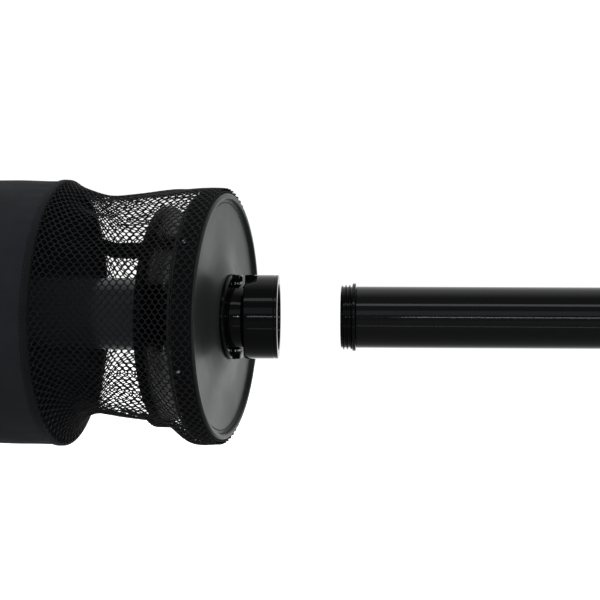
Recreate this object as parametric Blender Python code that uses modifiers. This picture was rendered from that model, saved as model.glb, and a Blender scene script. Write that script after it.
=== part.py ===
# Collecting net bag with a screw-in tube, as separate pieces.
# X runs along the tube, away from the bag, +Z is up, and the world origin is the centre of the
# collar's mouth. The bag is modelled straight behind the collar and then swung about the neck's
# two pins to its resting angle. Sizes below are in millimetres.

import math

import bmesh
import bpy
from mathutils import Matrix

MM = 0.001
STEPS = 36                    # facets round a turned piece
SCREW_STEPS = 12
GAP = 0.3                     # left between pieces that touch

# tube and its threaded end
TUBE_R = 24.0
TUBE_BORE_R = 22.0
TUBE_START = 60.6
TUBE_END = 600.0
THREAD_START = 48.6           # end face of the thread, pulled out of the collar
THREAD_CREST_R = 25.2
THREAD_ROOT_R = 23.9
THREAD_PITCH = 3.0
THREAD_TURNS = 3
RIDGE_START = 57.6
RIDGE_R = 26.5
THREAD_END_BORE_R = 20.2
SPIGOT_END = 78.0

# collar, neck and end plate
COLLAR_R = 32.75
COLLAR_BACK = -26.5
COLLAR_BORE_R = 25.9
CHAMBER_R = 28.5
CHAMBER_FRONT = -9.5
CHAMBER_BACK = -22.5
NECK_R = 24.6
NECK_BORE_R = 20.6
NECK_FRONT = -10.8
CLIP_GROOVE_R = 23.9
PIVOT_X = -34.0               # the neck's ball and its two pins are centred here
BALL_R = 25.75
BALL_BACK = -8.5              # along X from the pivot
SWIVEL = 11.6                 # degrees from straight at rest
PIN_R = 1.5
PIN_HOLE_R = 1.8
SLEEVE_FRONT = -50.5
SLEEVE_BACK = -110.0
SLEEVE_R = 25.75
SLEEVE_BORE_R = 22.0
HUB_FRONT = -35.4
PLATE_FACE = -43.4
BOSS_FACE = -38.0
BOSS_SLOPE = ((35.0, 0.0), (40.0, 1.7), (48.0, 3.9), (58.0, 5.4))  # radius, depth below its face
PLATE_THICKNESS = 3.0
PLATE_R = 96.3
RIM_INNER_R = 91.7
RIM_HEIGHT = 3.0
SKIRT_DEPTH = 16.0
SKIRT_WALL = 3.0
NUT_R = 34.0
NUT_SLOTS = 6
NOTCH_COUNT = 2

EAR_SIZE = (7.6, 9.0, 5.2)    # along X, across, and along the pins
EAR_CENTRE = (0.8, 29.5)      # from the pivot along X, and from the axis

# spreader plate and standpipe
SPREADER_FRONT = -85.5
SPREADER_THICKNESS = 3.0
SPREADER_R = 86.0
STANDPIPE_R = 28.5
STANDPIPE_BORE_R = 26.05
STANDPIPE_END = -330.0
FLANGE_R = 40.0
SCREW_CIRCLE_R = 34.0
SCREW_COUNT = 4
SCREW_HOLE_R = 2.1
SCREW_SHANK_R = 1.75

# mesh section: outer radius along X from the hem to the fabric rim
NET_OUTLINE = [
    (-58.3, 98.6), (-69.0, 98.5), (-78.0, 95.6), (-95.0, 91.4), (-113.0, 89.4), (-128.0, 86.2),
    (-142.0, 85.4), (-149.0, 87.2), (-158.0, 94.0), (-166.0, 102.2), (-168.5, 103.9), (-170.2, 103.9),
]
NET_WALL = 1.2

# rivets that hold the hem to the plate's skirt
RIVET_COUNT = 6
RIVET_START = 20.0            # degrees above level on the far side
RIVET_X = -53.5
RIVET_SHANK_R = 1.0
RIVET_HOLE_R = 1.4
RIVET_HEAD_R = 2.3
RIVET_HEAD = 1.5

# webbing strap inside the mesh: outer face, as distance from the axis along X
STRAP_OUTLINE = [
    (-49.5, 91.6), (-78.0, 91.6), (-95.0, 88.9), (-113.0, 86.8), (-128.0, 83.6),
    (-142.0, 82.8), (-149.0, 84.4), (-158.0, 90.6), (-166.0, 98.2), (-176.0, 100.0),
]
STRAP_THICKNESS = 1.5
STRAP_WIDTH = 15.0
STRAP_ANGLE = 36.0            # degrees above level, on the far side

# fabric cylinder and its lid
FABRIC_R = 104.0
FABRIC_WALL = 1.6
RIM_FRONT = -170.5
RIM_WIDTH = 5.6
RIM_WEB = 1.8                 # tape at the fold of a binding, along X
WALL_END = -448.4
BINDING_LEAF = 0.9
HOOP_R = 100.5
HOOP_WIRE_R = 1.5
ZIP_LAYER = 1.7               # depth along X of each zip ring
LID_R = 104.0
LID_THICKNESS = 1.8
STIFFENER_R = 98.0
LID_HINGE_HEIGHT = 104.9
HANDLE_WIDTH = 25.0
HANDLE_WEB = 1.5
SLIDER_ANGLE = 30.0           # degrees from the top, where the zip is closed
SLIDER_INNER_R = 105.1
SLIDER_BASE = 2.8
PULL_R = 109.1                # radius of the pull's turning axis

GLOSS_BLACK = ((0.012, 0.013, 0.014), 0.12, 0.0)
SATIN_BLACK = ((0.030, 0.031, 0.032), 0.35, 0.0)
PLATE_GREY = ((0.105, 0.110, 0.103), 0.48, 0.0)
SOFT_RUBBER = ((0.020, 0.020, 0.020), 0.70, 0.0)
BLACK_FABRIC = ((0.016, 0.018, 0.020), 0.85, 0.0)
MESH_CORD = ((0.022, 0.022, 0.024), 0.75, 0.0)
WEBBING = ((0.014, 0.014, 0.015), 0.80, 0.0)
SPRING_STEEL = ((0.48, 0.48, 0.50), 0.30, 1.0)
ZIP_NYLON = ((0.025, 0.025, 0.026), 0.45, 0.0)


def new_collection(name, is_cutters=False):
    collection = bpy.data.collections.new(name)
    bpy.context.scene.collection.children.link(collection)
    collection.hide_render = is_cutters
    return collection


def new_material(name, look):
    colour, roughness, metallic = look
    material = bpy.data.materials.new(name)
    material.use_nodes = True
    shader = material.node_tree.nodes["Principled BSDF"]
    shader.inputs["Base Color"].default_value = (*colour, 1.0)
    shader.inputs["Roughness"].default_value = roughness
    shader.inputs["Metallic"].default_value = metallic
    return material


def add_part(name, data, look):
    part = bpy.data.objects.new(name, data)
    parts.objects.link(part)
    part.data.materials.append(new_material(name, look))
    return part


def add_cutter(name, data):
    cutter = bpy.data.objects.new(name, data)
    cutters.objects.link(cutter)
    cutter.hide_render = True
    cutter.display_type = "WIRE"
    return cutter


def signed_area(outline):
    following = outline[1:] + outline[:1]
    return 0.5 * sum(x0 * r1 - x1 * r0 for (x0, r0), (x1, r1) in zip(outline, following))


# Turns an outline of (x, radius) about X: a closed ring, or a solid whose outline ends on the axis.
def turned(name, outline, look, steps=STEPS, is_solid=False):
    if signed_area(outline) < 0:
        outline = outline[::-1]
    mesh = bmesh.new()
    verts = [mesh.verts.new((r * MM, 0.0, x * MM)) for x, r in outline]
    for first, second in zip(verts, verts[1:]):
        mesh.edges.new((first, second))
    if not is_solid:
        mesh.edges.new((verts[-1], verts[0]))
    part = add_part(name, bpy.data.meshes.new(name), look)
    mesh.to_mesh(part.data)
    mesh.free()
    part.rotation_euler = (0.0, math.radians(90.0), 0.0)
    screw = part.modifiers.new("Turn", "SCREW")
    screw.axis = "Z"
    screw.angle = math.tau
    screw.steps = steps
    screw.render_steps = steps
    screw.use_merge_vertices = True
    screw.merge_threshold = 0.00001
    screw.use_smooth_shade = True
    return part


def ring(name, front, back, inner, outer, look):
    return turned(name, [(front, inner), (front, outer), (back, outer), (back, inner)], look)


def disc(name, front, back, radius, look):
    outline = [(front, 0.0), (front, radius), (back, radius), (back, 0.0)]
    return turned(name, outline, look, is_solid=True)


# A round wire bent into a circle about X, six-sided in section.
def hoop(name, x, radius, wire, look):
    corners = [math.tau * i / 6 for i in range(6)]
    return turned(name, [(x + wire * math.cos(a), radius + wire * math.sin(a)) for a in corners], look)


# The folded tape that wraps a fabric edge: a U in section, open at open_x.
def edge_binding(name, closed_x, open_x, look):
    outer = FABRIC_R + GAP + BINDING_LEAF
    inner = FABRIC_R - FABRIC_WALL - GAP - BINDING_LEAF
    web = closed_x + math.copysign(RIM_WEB, open_x - closed_x)
    return turned(name, [
        (closed_x, inner), (closed_x, outer), (open_x, outer), (open_x, outer - BINDING_LEAF),
        (web, outer - BINDING_LEAF), (web, inner + BINDING_LEAF),
        (open_x, inner + BINDING_LEAF), (open_x, inner),
    ], look)


def flat_curve(name, loops, thickness):
    curve = bpy.data.curves.new(name, "CURVE")
    curve.dimensions = "2D"
    curve.fill_mode = "BOTH"
    curve.extrude = thickness * MM / 2
    for loop in loops:
        spline = curve.splines.new("POLY")
        spline.points.add(len(loop) - 1)
        for point, (x, y) in zip(spline.points, loop):
            point.co = (x * MM, y * MM, 0.0, 1.0)
        spline.use_cyclic_u = True
    return curve


# A band of even thickness that hangs below the given line, as one closed outline.
def band_outline(line, thickness):
    under = []
    for index, (x, y) in enumerate(line):
        before = line[max(index - 1, 0)]
        after = line[min(index + 1, len(line) - 1)]
        run, rise = after[0] - before[0], after[1] - before[1]
        length = math.hypot(run, rise)
        under.append((x - rise / length * thickness, y + run / length * thickness))
    return line + under[::-1]


def add_box(mesh, size, centre):
    verts = bmesh.ops.create_cube(mesh, size=MM)["verts"]
    bmesh.ops.scale(mesh, vec=size, verts=verts)
    bmesh.ops.translate(mesh, vec=[c * MM for c in centre], verts=verts)
    return verts


# The same box repeated round X, as one cutter or one set of lugs.
def boxes_round(name, count, size, x, radius, start=0.0):
    mesh = bmesh.new()
    for index in range(count):
        verts = add_box(mesh, size, (x, 0.0, radius))
        turn = Matrix.Rotation(math.radians(start + 360.0 * index / count), 3, "X")
        bmesh.ops.rotate(mesh, cent=(0.0, 0.0, 0.0), matrix=turn, verts=verts)
    data = bpy.data.meshes.new(name)
    mesh.to_mesh(data)
    mesh.free()
    return add_cutter(name, data)


def combine(part, tool, operation):
    boolean = part.modifiers.new(operation.title(), "BOOLEAN")
    boolean.operation = operation
    boolean.solver = "EXACT"
    boolean.object = tool


def rivet_turn(index):
    return math.radians(RIVET_START + 360.0 * index / RIVET_COUNT - 90.0)


def make_rivet_holes():
    mesh = bmesh.new()
    for index in range(RIVET_COUNT):
        turn = Matrix.Rotation(rivet_turn(index), 4, "X")
        place = Matrix.Translation((RIVET_X * MM, 0.0, PLATE_R * MM))
        bmesh.ops.create_cone(
            mesh, cap_ends=True, segments=SCREW_STEPS, radius1=RIVET_HOLE_R * MM,
            radius2=RIVET_HOLE_R * MM, depth=12.0 * MM, matrix=turn @ place)
    data = bpy.data.meshes.new("rivet_holes")
    mesh.to_mesh(data)
    mesh.free()
    return add_cutter("rivet_holes", data)


def make_end_plate(rivet_holes):
    back = PLATE_FACE - PLATE_THICKNESS
    rim_face = PLATE_FACE + RIM_HEIGHT
    skirt_end = PLATE_FACE - SKIRT_DEPTH
    boss_bore = COLLAR_R + GAP
    slope = [(BOSS_FACE - depth, radius) for radius, depth in BOSS_SLOPE]
    plate = turned("end_plate", [
        (PLATE_FACE, STANDPIPE_BORE_R), (PLATE_FACE, boss_bore), (BOSS_FACE, boss_bore), *slope,
        (PLATE_FACE, RIM_INNER_R), (rim_face, RIM_INNER_R),
        (rim_face, PLATE_R), (skirt_end, PLATE_R), (skirt_end, PLATE_R - SKIRT_WALL),
        (back, PLATE_R - SKIRT_WALL), (back, STANDPIPE_BORE_R),
    ], PLATE_GREY)
    combine(plate, rivet_holes, "DIFFERENCE")


# Points on a sphere round the pivot, as (x, radius), for places along X from the pivot.
def ball_points(radius, places):
    return [(PIVOT_X + along, math.sqrt(radius * radius - along * along)) for along in places]


def make_pin_holes(name):
    mesh = bmesh.new()
    bmesh.ops.create_cone(
        mesh, cap_ends=True, segments=SCREW_STEPS, radius1=PIN_HOLE_R * MM, radius2=PIN_HOLE_R * MM,
        depth=2.4 * COLLAR_R * MM, matrix=Matrix.Translation((PIVOT_X * MM, 0.0, 0.0)))
    data = bpy.data.meshes.new(name)
    mesh.to_mesh(data)
    mesh.free()
    return add_cutter(name, data)


# The hub's bore is a socket for the neck's ball, and its two ears carry the pins.
def make_hub_ring():
    back = PLATE_FACE + GAP
    face_along = HUB_FRONT - PIVOT_X
    socket = ball_points(BALL_R + GAP, (back - PIVOT_X, -6.0, -3.5, face_along))
    hub = turned("hub_ring", socket + [
        (HUB_FRONT, COLLAR_R - 1.0), (HUB_FRONT - 1.0, COLLAR_R), (back, COLLAR_R)], GLOSS_BLACK)
    ears = boxes_round("hub_ears", 2, EAR_SIZE, PIVOT_X + EAR_CENTRE[0], EAR_CENTRE[1])
    combine(hub, ears, "UNION")
    combine(hub, make_pin_holes("ear_pin_holes"), "DIFFERENCE")
    ear_top = EAR_CENTRE[1] + EAR_SIZE[2] / 2
    tail = NECK_BORE_R + 1.0
    for index, side in enumerate(("upper", "lower")):
        pin = turned(f"swivel_pin_{side}", [
            (ear_top + 1.0, 0.0), (ear_top + 1.0, PIN_R + 0.1), (ear_top + GAP, PIN_R + 0.5),
            (ear_top + GAP, PIN_R), (tail, PIN_R), (tail, 0.0),
        ], SPRING_STEEL, steps=SCREW_STEPS, is_solid=True)
        pin.location = (PIVOT_X * MM, 0.0, 0.0)
        pin.rotation_euler = (math.pi * index, 0.0, 0.0)


def make_neck():
    groove_front = CHAMBER_BACK + 2.6
    groove_back = CHAMBER_BACK + 0.1
    ball_front = math.sqrt(BALL_R * BALL_R - NECK_R * NECK_R)
    ball = ball_points(BALL_R, (ball_front, 4.0, 0.0, -4.0, BALL_BACK))
    neck = turned("neck_pipe", [
        (NECK_FRONT, NECK_BORE_R), (NECK_FRONT, NECK_R), (groove_front, NECK_R),
        (groove_front, CLIP_GROOVE_R), (groove_back, CLIP_GROOVE_R), (groove_back, NECK_R),
        *ball, (PIVOT_X + BALL_BACK, NECK_BORE_R),
    ], GLOSS_BLACK)
    combine(neck, make_pin_holes("neck_pin_holes"), "DIFFERENCE")
    ring("collar_clip", groove_front - GAP, groove_back + GAP, CLIP_GROOVE_R + GAP, CHAMBER_R - 0.4, SPRING_STEEL)
    ring("seal_washer", NECK_FRONT + 1.8, NECK_FRONT + GAP, NECK_BORE_R + 0.3, NECK_R - 0.3, SOFT_RUBBER)
    ring("inner_sleeve", SLEEVE_FRONT, SLEEVE_BACK, SLEEVE_BORE_R, SLEEVE_R, GLOSS_BLACK)


def make_plate_fixing():
    gasket_front = PLATE_FACE - PLATE_THICKNESS - GAP
    nut_front = gasket_front - 1.8
    ring("plate_gasket", gasket_front, gasket_front - 1.5, STANDPIPE_BORE_R, NUT_R + 2.0, SOFT_RUBBER)
    nut = ring("ring_nut", nut_front, nut_front - 7.0, STANDPIPE_BORE_R, NUT_R, SATIN_BLACK)
    slots = boxes_round("nut_slots", NUT_SLOTS, (9.0, 5.0, 5.0), nut_front - 3.5, NUT_R, start=15.0)
    combine(nut, slots, "DIFFERENCE")


def make_collar():
    collar = turned("collar", [
        (0.0, COLLAR_BORE_R), (0.0, COLLAR_R - 0.8), (-0.8, COLLAR_R), (COLLAR_BACK + 0.8, COLLAR_R),
        (COLLAR_BACK, COLLAR_R - 0.8), (COLLAR_BACK, STANDPIPE_BORE_R), (CHAMBER_BACK, STANDPIPE_BORE_R),
        (CHAMBER_BACK, CHAMBER_R), (CHAMBER_FRONT, CHAMBER_R), (CHAMBER_FRONT, COLLAR_BORE_R),
    ], GLOSS_BLACK)
    notches = boxes_round("collar_notches", NOTCH_COUNT, (7.0, 9.0, 4.0), COLLAR_BACK, COLLAR_R, start=18.0)
    combine(collar, notches, "DIFFERENCE")


def make_spreader():
    back = SPREADER_FRONT - SPREADER_THICKNESS
    lip_back = back - 3.0
    spreader = turned("spreader_plate", [
        (SPREADER_FRONT, STANDPIPE_BORE_R), (SPREADER_FRONT, SPREADER_R - 1.5),
        (SPREADER_FRONT - 1.5, SPREADER_R), (lip_back, SPREADER_R), (lip_back, SPREADER_R - 3.0),
        (back, SPREADER_R - 3.0), (back, STANDPIPE_BORE_R),
    ], SATIN_BLACK)
    flange_back = back - GAP - 4.0
    standpipe = turned("standpipe", [
        (back - GAP, STANDPIPE_BORE_R), (back - GAP, FLANGE_R), (flange_back, FLANGE_R),
        (flange_back, STANDPIPE_R), (STANDPIPE_END, STANDPIPE_R), (STANDPIPE_END, STANDPIPE_BORE_R),
    ], GLOSS_BLACK)
    holes = make_screw_holes(flange_back)
    combine(spreader, holes, "DIFFERENCE")
    combine(standpipe, holes, "DIFFERENCE")
    for index in range(SCREW_COUNT):
        make_spreader_screw(index, flange_back)
    lip_outer = STANDPIPE_R + 1.2
    turned("standpipe_lip", [
        (STANDPIPE_END - GAP, STANDPIPE_BORE_R - 0.6), (STANDPIPE_END - GAP, lip_outer),
        (STANDPIPE_END - 3.0, lip_outer), (STANDPIPE_END - 4.5, lip_outer - 1.5),
        (STANDPIPE_END - 4.5, STANDPIPE_BORE_R + 0.4), (STANDPIPE_END - 3.5, STANDPIPE_BORE_R - 0.6),
    ], SOFT_RUBBER)


def screw_place(index):
    angle = math.radians(45.0 + 360.0 * index / SCREW_COUNT)
    return SCREW_CIRCLE_R * math.sin(angle) * MM, SCREW_CIRCLE_R * math.cos(angle) * MM


def make_screw_holes(flange_back):
    mesh = bmesh.new()
    depth = (SPREADER_FRONT - flange_back + 2.0) * MM
    middle = (SPREADER_FRONT + flange_back) / 2 * MM
    lie_along_x = Matrix.Rotation(math.radians(90.0), 4, "Y")
    for index in range(SCREW_COUNT):
        place = Matrix.Translation((middle, *screw_place(index))) @ lie_along_x
        bmesh.ops.create_cone(
            mesh, cap_ends=True, segments=SCREW_STEPS, radius1=SCREW_HOLE_R * MM,
            radius2=SCREW_HOLE_R * MM, depth=depth, matrix=place)
    data = bpy.data.meshes.new("screw_holes")
    mesh.to_mesh(data)
    mesh.free()
    return add_cutter("screw_holes", data)


def make_spreader_screw(index, flange_back):
    seat = SPREADER_FRONT + GAP
    screw = turned(f"spreader_screw_{index + 1}", [
        (seat + 2.2, 0.0), (seat + 2.2, 2.4), (seat + 1.2, 3.4), (seat, 3.4), (seat, SCREW_SHANK_R),
        (flange_back + 0.5, SCREW_SHANK_R), (flange_back + 0.5, 0.0),
    ], SPRING_STEEL, steps=SCREW_STEPS, is_solid=True)
    screw.location = (0.0, *screw_place(index))


def make_hem(rivet_holes):
    hem_front = PLATE_FACE + 1.4
    hem_back = NET_OUTLINE[0][0] + GAP
    hem_outer = NET_OUTLINE[0][1] - 0.2
    hem = ring("hem_band", hem_front, hem_back, PLATE_R + GAP, hem_outer, BLACK_FABRIC)
    combine(hem, rivet_holes, "DIFFERENCE")
    seat = hem_outer + GAP
    tail = PLATE_R - SKIRT_WALL - 0.5
    for index in range(RIVET_COUNT):
        rivet = turned(f"hem_rivet_{index + 1}", [
            (seat + RIVET_HEAD, 0.0), (seat + RIVET_HEAD, RIVET_HEAD_R * 0.5),
            (seat + RIVET_HEAD * 0.6, RIVET_HEAD_R * 0.9), (seat, RIVET_HEAD_R),
            (seat, RIVET_SHANK_R), (tail, RIVET_SHANK_R), (tail, 0.0),
        ], SPRING_STEEL, steps=SCREW_STEPS, is_solid=True)
        rivet.location = (RIVET_X * MM, 0.0, 0.0)
        rivet.rotation_euler = (rivet_turn(index), 0.0, 0.0)


def make_net():
    hoop("hem_cord", PLATE_FACE - SKIRT_DEPTH - 1.8, PLATE_R - 1.4, 1.3, SOFT_RUBBER)
    turned("net", band_outline(NET_OUTLINE, NET_WALL), MESH_CORD)
    strap = add_part("rear_strap", flat_curve(
        "rear_strap", [band_outline(STRAP_OUTLINE, STRAP_THICKNESS)], STRAP_WIDTH), WEBBING)
    strap.rotation_euler = (math.radians(STRAP_ANGLE), 0.0, 0.0)


def make_fabric_cylinder():
    wall_front = RIM_FRONT - RIM_WEB - GAP
    wall_back = WALL_END + RIM_WEB + GAP
    ring("fabric_wall", wall_front, wall_back, FABRIC_R - FABRIC_WALL, FABRIC_R, BLACK_FABRIC)
    edge_binding("rim_binding", RIM_FRONT, RIM_FRONT - RIM_WIDTH, WEBBING)
    edge_binding("base_binding", WALL_END, WALL_END + RIM_WIDTH, WEBBING)
    hoop("rim_hoop", RIM_FRONT - RIM_WIDTH - 3.5, HOOP_R, HOOP_WIRE_R, SPRING_STEEL)
    hoop("base_hoop", WALL_END + RIM_WIDTH + 3.5, HOOP_R, HOOP_WIRE_R, SPRING_STEEL)


# Zip tapes and teeth lie one behind another along X, with the lid behind them.
def make_zip_and_lid():
    tape_inner, tape_outer = FABRIC_R - 2.4, FABRIC_R + 0.6
    front = WALL_END - GAP
    ring("zip_tape", front, front - ZIP_LAYER, tape_inner, tape_outer, WEBBING)
    front -= ZIP_LAYER + GAP
    ring("zip_teeth", front, front - ZIP_LAYER, tape_inner + 0.6, tape_outer - 0.4, ZIP_NYLON)
    front -= ZIP_LAYER + GAP
    ring("lid_tape", front, front - ZIP_LAYER, tape_inner, tape_outer, WEBBING)
    disc("lid_stiffener", front, front - ZIP_LAYER, STIFFENER_R, SATIN_BLACK)
    front -= ZIP_LAYER + GAP
    disc("lid_panel", front, front - LID_THICKNESS, LID_R, BLACK_FABRIC)
    make_handle(front - LID_THICKNESS - GAP)


def make_handle(panel_x):
    arch = [
        (panel_x, 58.0), (panel_x, 42.0), (panel_x - 9.0, 39.0), (panel_x - 21.0, 32.0),
        (panel_x - 27.0, 18.0), (panel_x - 29.0, 0.0),
    ]
    line = arch + [(x, -z) for x, z in arch[-2::-1]]
    handle = add_part("lid_handle", flat_curve(
        "lid_handle", [band_outline(line, -HANDLE_WEB)], HANDLE_WIDTH), WEBBING)
    handle.rotation_euler = (math.radians(90.0), 0.0, 0.0)


# The slider is made at the top of the cylinder and turned to its place about X.
def make_zip_slider():
    centre_x = WALL_END - GAP - ZIP_LAYER - GAP - ZIP_LAYER / 2
    data = bpy.data.meshes.new("zip_slider")
    mesh = bmesh.new()
    add_box(mesh, (5.8, 8.0, SLIDER_BASE), (centre_x, 0.0, SLIDER_INNER_R + SLIDER_BASE / 2))
    mesh.to_mesh(data)
    mesh.free()
    slider = add_part("zip_slider", data, SPRING_STEEL)
    slider.rotation_euler = (math.radians(SLIDER_ANGLE), 0.0, 0.0)

    base_top = SLIDER_INNER_R + SLIDER_BASE
    bridge_mesh = bmesh.new()
    for side in (-1, 1):
        add_box(bridge_mesh, (1.6, 1.2, 3.6), (centre_x, side * 2.9, base_top + 1.3))
    bridge = add_cutter("slider_posts", bpy.data.meshes.new("slider_posts"))
    bridge_mesh.to_mesh(bridge.data)
    bridge_mesh.free()
    top_mesh = bmesh.new()
    add_box(top_mesh, (1.6, 7.0, 1.1), (centre_x, 0.0, base_top + 3.0))
    top = add_cutter("slider_bridge", bpy.data.meshes.new("slider_bridge"))
    top_mesh.to_mesh(top.data)
    top_mesh.free()
    for tool in (bridge, top):
        tool.rotation_euler = slider.rotation_euler
        combine(slider, tool, "UNION")

    outer = [(-2.6, -0.7), (2.6, -0.7), (2.6, 20.0), (-2.6, 20.0)]
    window = [(-1.4, 0.8), (1.4, 0.8), (1.4, 6.0), (-1.4, 6.0)]
    pull = add_part("zip_pull", flat_curve("zip_pull", [outer, window], 1.0), SPRING_STEEL)
    angle = math.radians(SLIDER_ANGLE)
    pull.location = (centre_x * MM, -PULL_R * math.sin(angle) * MM, PULL_R * math.cos(angle) * MM)
    pull.rotation_euler = (angle + math.pi, 0.0, 0.0)
    return centre_x


def make_tube():
    flank = THREAD_PITCH * 0.28
    outline = [(THREAD_START, THREAD_END_BORE_R)]
    for turn in range(THREAD_TURNS):
        start = THREAD_START + THREAD_PITCH * turn
        outline += [
            (start, THREAD_ROOT_R), (start + flank, THREAD_CREST_R),
            (start + 2 * flank, THREAD_CREST_R), (start + 3 * flank, THREAD_ROOT_R),
        ]
    outline += [
        (RIDGE_START, THREAD_ROOT_R), (RIDGE_START, RIDGE_R), (TUBE_START - GAP, RIDGE_R),
        (TUBE_START - GAP, TUBE_BORE_R - 0.4), (SPIGOT_END, TUBE_BORE_R - 0.4),
        (SPIGOT_END, THREAD_END_BORE_R),
    ]
    turned("tube_thread_end", outline, GLOSS_BLACK)
    ring("tube_pipe", TUBE_START, TUBE_END, TUBE_BORE_R, TUBE_R, GLOSS_BLACK)
    lip_start = TUBE_END + GAP
    turned("tube_mouth_ring", [
        (TUBE_END - 15.0, TUBE_R + GAP), (TUBE_END - 15.0, TUBE_R + 2.2), (lip_start + 2.0, TUBE_R + 2.2),
        (lip_start + 4.0, TUBE_R + 0.5), (lip_start + 4.0, THREAD_END_BORE_R + 0.3),
        (lip_start, THREAD_END_BORE_R + 0.3), (lip_start, TUBE_R + GAP),
    ], SATIN_BLACK)


def joint_empty(name, x=0.0, y=0.0, z=0.0):
    empty = bpy.data.objects.new(name, None)
    parts.objects.link(empty)
    empty.location = (x * MM, y * MM, z * MM)
    empty.empty_display_size = 0.02
    return empty


# Parents the named parts to the empty on their joint's axis, leaving them where they are.
def carry(empty, names):
    bpy.context.view_layer.update()
    for name in names:
        carried = bpy.data.objects[name]
        carried.parent = empty
        carried.matrix_parent_inverse = empty.matrix_world.inverted()


def add_joint_axes(zip_x):
    angle = math.radians(SLIDER_ANGLE)
    carry(joint_empty("collar_turn"), ["collar", "collar_notches"])
    carry(joint_empty("tube_pull", x=THREAD_START), ["tube_thread_end", "tube_pipe", "tube_mouth_ring"])
    bag = joint_empty("bag_fold", x=RIM_FRONT)
    carry(bag, [
        "fabric_wall", "rim_binding", "base_binding", "rim_hoop", "base_hoop", "zip_tape", "zip_teeth"])
    lid = joint_empty("lid_hinge", x=zip_x - ZIP_LAYER / 2, z=LID_HINGE_HEIGHT)
    carry(lid, ["lid_tape", "lid_stiffener", "lid_panel", "lid_handle"])
    slide = joint_empty("zip_run", x=zip_x)
    carry(slide, ["zip_slider", "slider_posts", "slider_bridge"])
    pull = joint_empty("pull_pivot", zip_x, -PULL_R * math.sin(angle), PULL_R * math.cos(angle))
    carry(pull, ["zip_pull"])
    carry(slide, ["pull_pivot"])
    carry(bag, ["lid_hinge", "zip_run"])
    # everything on the bag's side of the pins swings together
    tube_side = {"collar_turn", "tube_pull", "neck_pipe", "neck_pin_holes", "collar_clip", "seal_washer"}
    bag_side = [o.name for o in bpy.data.objects if o.parent is None and o.name not in tube_side]
    swivel = joint_empty("neck_swivel", x=PIVOT_X)
    carry(swivel, bag_side)
    swivel.rotation_euler = (0.0, 0.0, math.radians(-SWIVEL))


for old in list(bpy.data.objects):
    bpy.data.objects.remove(old, do_unlink=True)
parts = new_collection("collecting_net_bag")
cutters = new_collection("cutters", is_cutters=True)
holes_for_rivets = make_rivet_holes()
make_end_plate(holes_for_rivets)
make_hem(holes_for_rivets)
make_hub_ring()
make_neck()
make_plate_fixing()
make_collar()
make_spreader()
make_net()
make_fabric_cylinder()
make_zip_and_lid()
make_tube()
add_joint_axes(make_zip_slider())
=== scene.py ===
import math

import bmesh
import bpy
import numpy as np
from mathutils import Matrix, Vector


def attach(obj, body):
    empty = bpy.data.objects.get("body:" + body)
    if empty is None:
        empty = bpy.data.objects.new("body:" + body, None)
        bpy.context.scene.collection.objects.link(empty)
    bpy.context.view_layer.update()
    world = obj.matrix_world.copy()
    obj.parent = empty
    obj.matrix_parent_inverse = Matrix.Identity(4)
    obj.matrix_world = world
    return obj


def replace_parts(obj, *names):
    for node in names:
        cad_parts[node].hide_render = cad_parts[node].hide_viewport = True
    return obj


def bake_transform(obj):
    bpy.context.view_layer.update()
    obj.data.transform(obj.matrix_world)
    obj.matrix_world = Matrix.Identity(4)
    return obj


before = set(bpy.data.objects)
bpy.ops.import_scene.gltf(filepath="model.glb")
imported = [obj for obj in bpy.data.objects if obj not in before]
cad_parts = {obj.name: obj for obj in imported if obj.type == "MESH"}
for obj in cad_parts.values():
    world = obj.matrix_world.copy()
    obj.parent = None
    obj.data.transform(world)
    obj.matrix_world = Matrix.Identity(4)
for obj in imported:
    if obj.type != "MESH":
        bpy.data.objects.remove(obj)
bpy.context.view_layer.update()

mm = 0.001
axisX = (1.0, 0.0, 0.0)
# the bag is made straight behind the collar and swung about the neck's pins to its resting angle
pivotX = -34.0
swing = -11.6
# radius of the way through plate, nut, spreader and standpipe
throat = 26.05
swung = (Matrix.Translation((pivotX * mm, 0.0, 0.0)) @ Matrix.Rotation(math.radians(swing), 4, "Z")
         @ Matrix.Translation((-pivotX * mm, 0.0, 0.0)))
tubeSide = ("tube", "collar", "neck")
scene = bpy.context.scene


def addNode(tree, kind, inputs=None, **settings):
    made = tree.nodes.new(kind)
    for key, value in settings.items():
        setattr(made, key, value)
    for key, value in (inputs or {}).items():
        if isinstance(value, bpy.types.NodeSocket):
            tree.links.new(value, made.inputs[key])
        else:
            made.inputs[key].default_value = value
    return made


def mathNode(tree, operation, first, second=0.0, third=0.0):
    return addNode(tree, "ShaderNodeMath", {0: first, 1: second, 2: third}, operation=operation).outputs[0]


def remap(tree, value, low, high, newLow, newHigh):
    inputs = {"Value": value, "From Min": low, "From Max": high, "To Min": newLow, "To Max": newHigh}
    return addNode(tree, "ShaderNodeMapRange", inputs).outputs["Result"]


def noiseNode(tree, place, scale, detail=3.0, roughness=0.5):
    inputs = {"Vector": place, "Scale": scale, "Detail": detail, "Roughness": roughness}
    return addNode(tree, "ShaderNodeTexNoise", inputs).outputs["Fac"]


def startMaterial(name, look):
    material = bpy.data.materials.new(name)
    material.use_nodes = True
    tree = material.node_tree
    shader = tree.nodes["Principled BSDF"]
    shader.inputs["Base Color"].default_value = (*look["colour"], 1.0)
    shader.inputs["Roughness"].default_value = look["roughness"]
    shader.inputs["Metallic"].default_value = look.get("metallic", 0.0)
    shader.inputs["IOR"].default_value = look.get("ior", 1.45)
    shader.inputs["Specular IOR Level"].default_value = look.get("specular", 0.5)
    place = tree.nodes.new("ShaderNodeTexCoord").outputs["Object"]
    return material, tree, shader, place


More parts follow.
